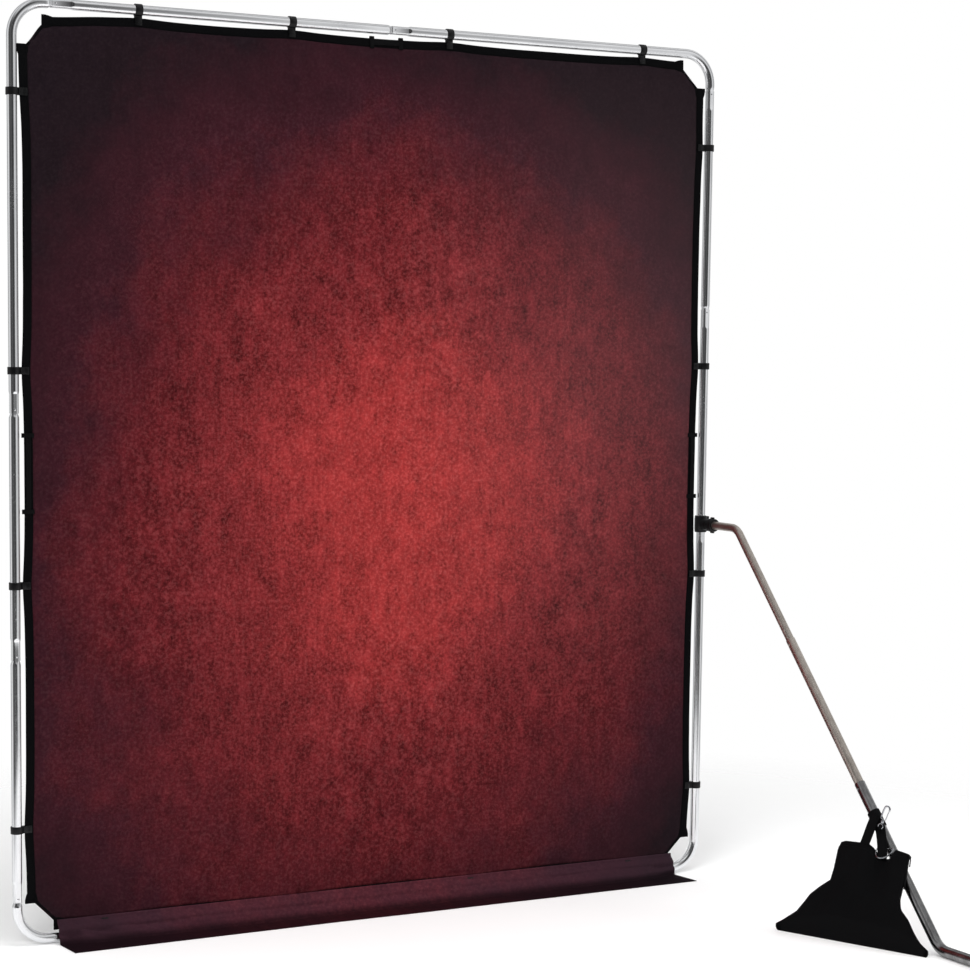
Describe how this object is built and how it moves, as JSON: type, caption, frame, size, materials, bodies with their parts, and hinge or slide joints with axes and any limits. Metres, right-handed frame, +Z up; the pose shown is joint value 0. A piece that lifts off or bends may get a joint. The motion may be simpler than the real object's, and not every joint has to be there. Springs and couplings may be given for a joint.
{
  "type": "collapsible backdrop panel",
  "caption": "Upright photo backdrop: plug-together tube frame with a clipped-on printed cloth, floor flap and a telescoping floor leg weighed down by a bag.",
  "frame": {"origin": "centre of the whole object's footprint box, on the floor", "axes": "+Z up; +X to the right along the panel, as seen from the printed side; +Y from the printed side towards the panel's back, so the floor leg reaches out to -Y"},
  "size_m": [2.0604, 1.2156, 2.305],
  "materials": {
    "bright_aluminium": "polished",
    "leg_metal": "satin",
    "black_plastic": "satin",
    "chrome_steel": "polished",
    "printed_cloth": "matte",
    "black_cloth": "matte",
    "red_plastic": "satin"
  },
  "bodies": {
    "panel": {"clip_bottom_1": "black_plastic", "clip_bottom_2": "black_plastic", "clip_bottom_3": "black_plastic", "clip_bottom_4": "black_plastic", "clip_left_3": "black_plastic", "clip_left_4": "black_plastic", "clip_right_2": "black_plastic", "clip_right_3": "black_plastic", "clip_right_4": "black_plastic", "cloth_panel": "printed_cloth", "corner_tube_bottom_left": "bright_aluminium", "corner_tube_bottom_right": "bright_aluminium", "cross_tube_bottom": "bright_aluminium", "floor_flap": "printed_cloth", "pull_strap_left": "black_cloth", "pull_strap_right": "black_cloth", "sleeve_bottom": "black_cloth", "sleeve_left": "black_cloth", "sleeve_right": "black_cloth", "upright_tube_left_lower": "bright_aluminium", "upright_tube_left_upper": "bright_aluminium", "upright_tube_right_lower": "bright_aluminium"},
    "upper_frame": {"corner_tube_top_left": "bright_aluminium", "corner_tube_top_right": "bright_aluminium", "cross_tube_top": "bright_aluminium", "upright_tube_right_upper": "bright_aluminium", "clip_top_1": "black_plastic", "clip_top_2": "black_plastic", "clip_top_3": "black_plastic", "clip_top_4": "black_plastic", "clip_left_1": "black_plastic", "clip_left_2": "black_plastic", "clip_right_1": "black_plastic", "sleeve_top": "black_cloth", "pull_strap_top": "black_cloth"},
    "leg_clamp": {"clamp_front_jaw": "black_plastic", "clamp_rear_jaw": "black_plastic", "clamp_screw_upper": "chrome_steel", "clamp_screw_lower": "chrome_steel", "leg_tube_upper": "leg_metal"},
    "lock_collar": {"leg_lock_collar": "black_plastic"},
    "leg_middle": {"leg_tube_middle": "leg_metal"},
    "leg_lower": {"leg_tube_lower": "leg_metal", "foot_plug": "red_plastic"},
    "weight_bag": {"weight_bag": "black_cloth", "bag_strap_left": "black_cloth", "bag_strap_right": "black_cloth", "bag_strap_wrap": "black_cloth", "d_ring": "chrome_steel", "snap_hook_body": "chrome_steel", "snap_hook_barrel": "chrome_steel", "snap_hook_eye": "chrome_steel", "zip_tape": "black_cloth"},
    "hook_gate": {"snap_hook_gate": "chrome_steel"},
    "zip_slider": {"zip_slider": "black_plastic", "zip_pull": "black_plastic"}
  },
  "joints": [
    {"name": "upper_frame_lift", "type": "slide", "parent": "panel", "child": "upper_frame", "axis": [0, 0, 1], "range_m": [0, 0.06]},
    {"name": "leg_swivel", "type": "hinge", "parent": "panel", "child": "leg_clamp", "pos_m": [0.95981, 0.59043, 0.993], "axis": [0, 0, 1], "range_deg": [-35, 135]},
    {"name": "collar_twist", "type": "hinge", "parent": "leg_clamp", "child": "lock_collar", "pos_m": [0.95981, 0.59043, 0.993], "axis": [0.0471, -0.9989, 0], "range_deg": [0, 90]},
    {"name": "middle_telescope", "type": "slide", "parent": "leg_clamp", "child": "leg_middle", "axis": [-0.0313, 0.6648, 0.7464], "range_m": [0, 0.25]},
    {"name": "lower_telescope", "type": "slide", "parent": "leg_middle", "child": "leg_lower", "axis": [-0.0313, 0.6648, 0.7464], "range_m": [0, 0.25]},
    {"name": "bag_swing", "type": "hinge", "parent": "leg_lower", "child": "weight_bag", "pos_m": [0.99712, -0.20065, 0.29441], "axis": [-0.0313, 0.6648, 0.7464], "range_deg": [0, 40]},
    {"name": "hook_gate_open", "type": "hinge", "parent": "weight_bag", "child": "hook_gate", "pos_m": [0.98054, -0.25601, 0.30482], "axis": [-0.9051, -0.4221, 0.0512], "range_deg": [0, 25], "stiffness_Nm_per_rad": 0.01, "springref_deg": -8.59},
    {"name": "zip_slide", "type": "slide", "parent": "weight_bag", "child": "zip_slider", "axis": [-0.2223, -0.1037, -0.9694], "range_m": [0, 0.074]}
  ]
}
